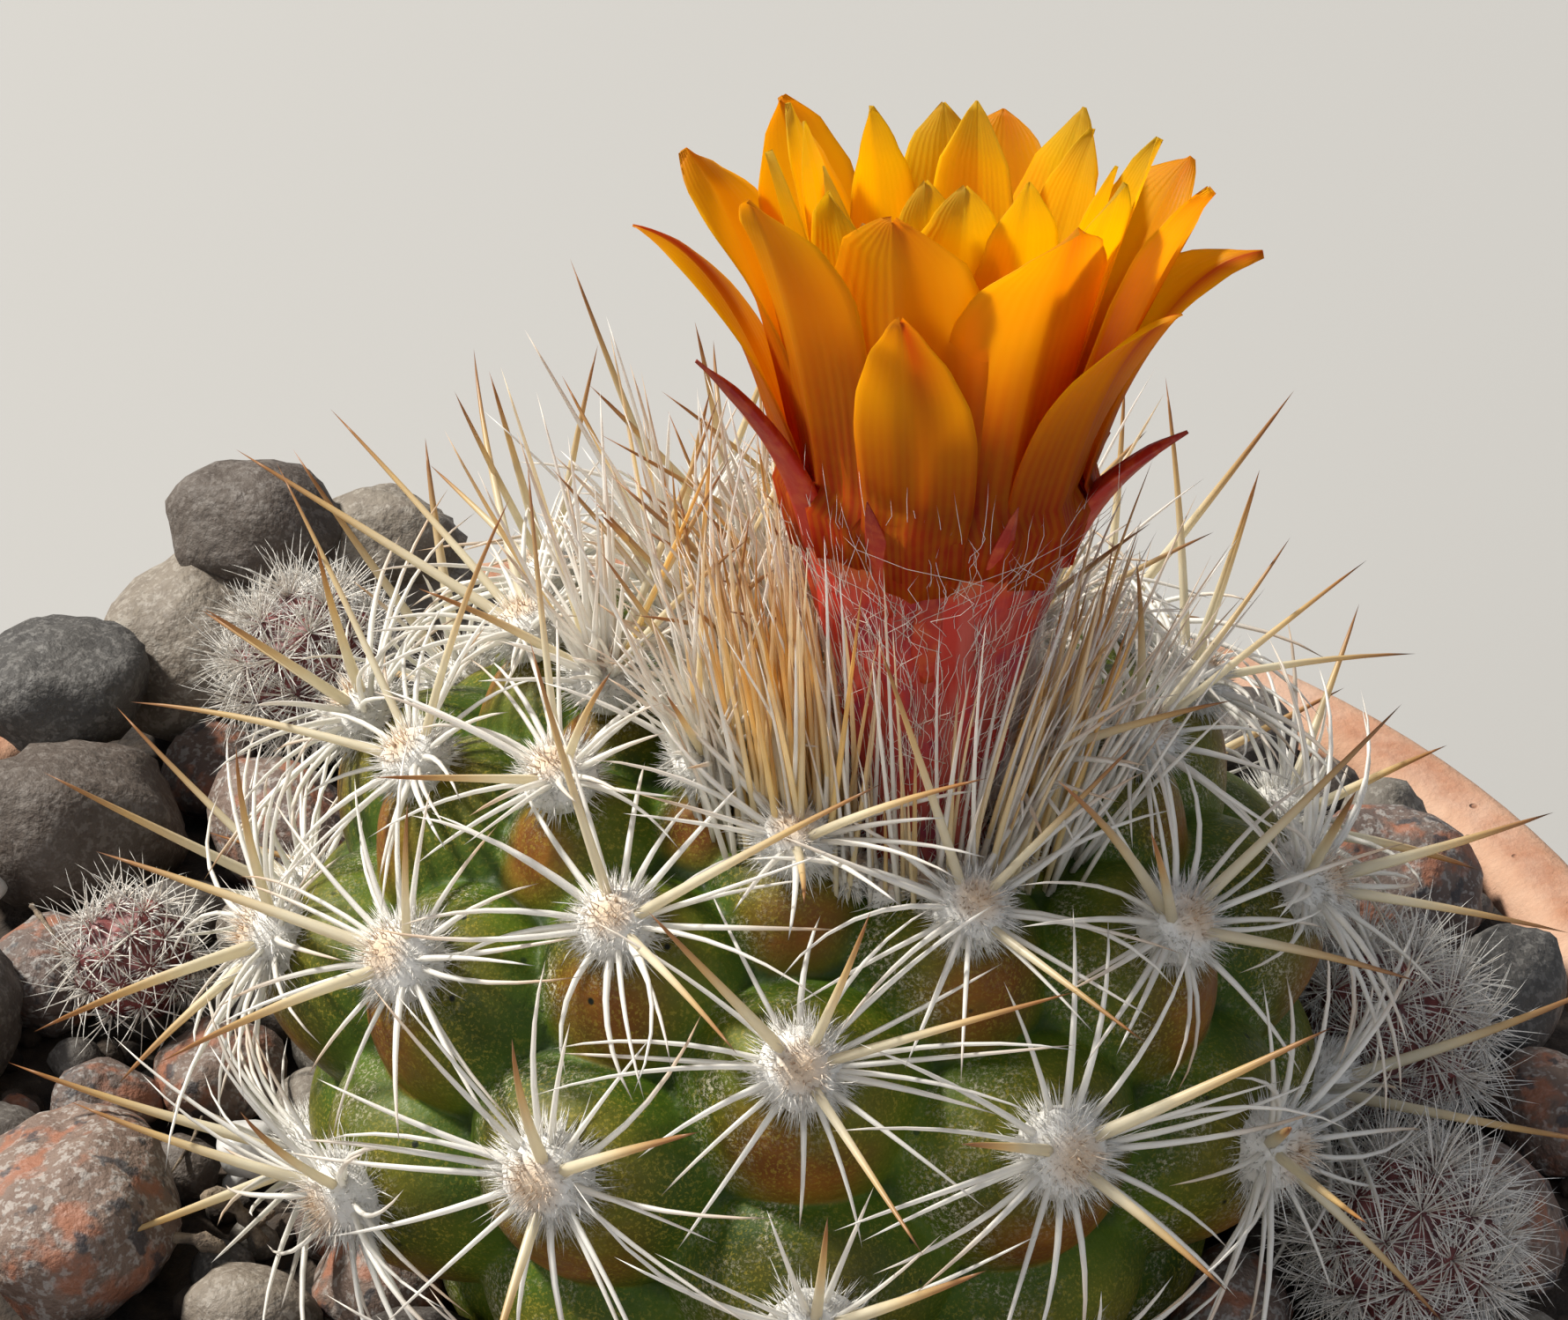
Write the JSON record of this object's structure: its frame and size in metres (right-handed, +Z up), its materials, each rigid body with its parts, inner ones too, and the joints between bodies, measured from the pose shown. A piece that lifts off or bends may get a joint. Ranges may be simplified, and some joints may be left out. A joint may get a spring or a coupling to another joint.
{
  "type": "potted cactus",
  "caption": "Small globular cactus in a clay pot dressed with pebbles, its green tubercled body under pale and tan-tipped spines, with an orange-yellow flower on a red tube and fuzzy offsets.",
  "frame": {"origin": "centre of the pot's foot, on the surface it stands on", "axes": "+Z up through the pot's axis; the plant's front, with the flower leaning away, faces -Y; +X to the right"},
  "size_m": [0.081, 0.081, 0.1201],
  "materials": {
    "clay": "matt unglazed clay, pale bloom near the rim",
    "soil": "dark crumbly potting soil",
    "pebbles": "mixed granite, quartz and sandstone pebbles, dull",
    "cactus_skin": "waxy green skin with paler specks and orange-brown chins",
    "offset_skin": "dull dark red skin",
    "wool": "dense white wool",
    "spine": "smooth, slightly translucent",
    "flower_tube": "satin red with purple tints and fine hairs",
    "orange_petal": "silky, thin and translucent",
    "yellow_petal": "silky, thin and translucent",
    "pollen": "dull yellow",
    "stigma": "dull cream"
  },
  "bodies": {
    "root": {"pot": "clay", "soil": "soil", "gravel": "pebbles", "stem": "cactus_skin", "offset_left_front": "offset_skin", "offset_left_back": "offset_skin", "offset_right_back": "offset_skin", "offset_right_front": "offset_skin", "flower_tube": "flower_tube", "outer_tepals": "orange_petal", "inner_tepals": "yellow_petal", "stamens": "pollen", "style": "stigma"}
  },
  "joints": []
}
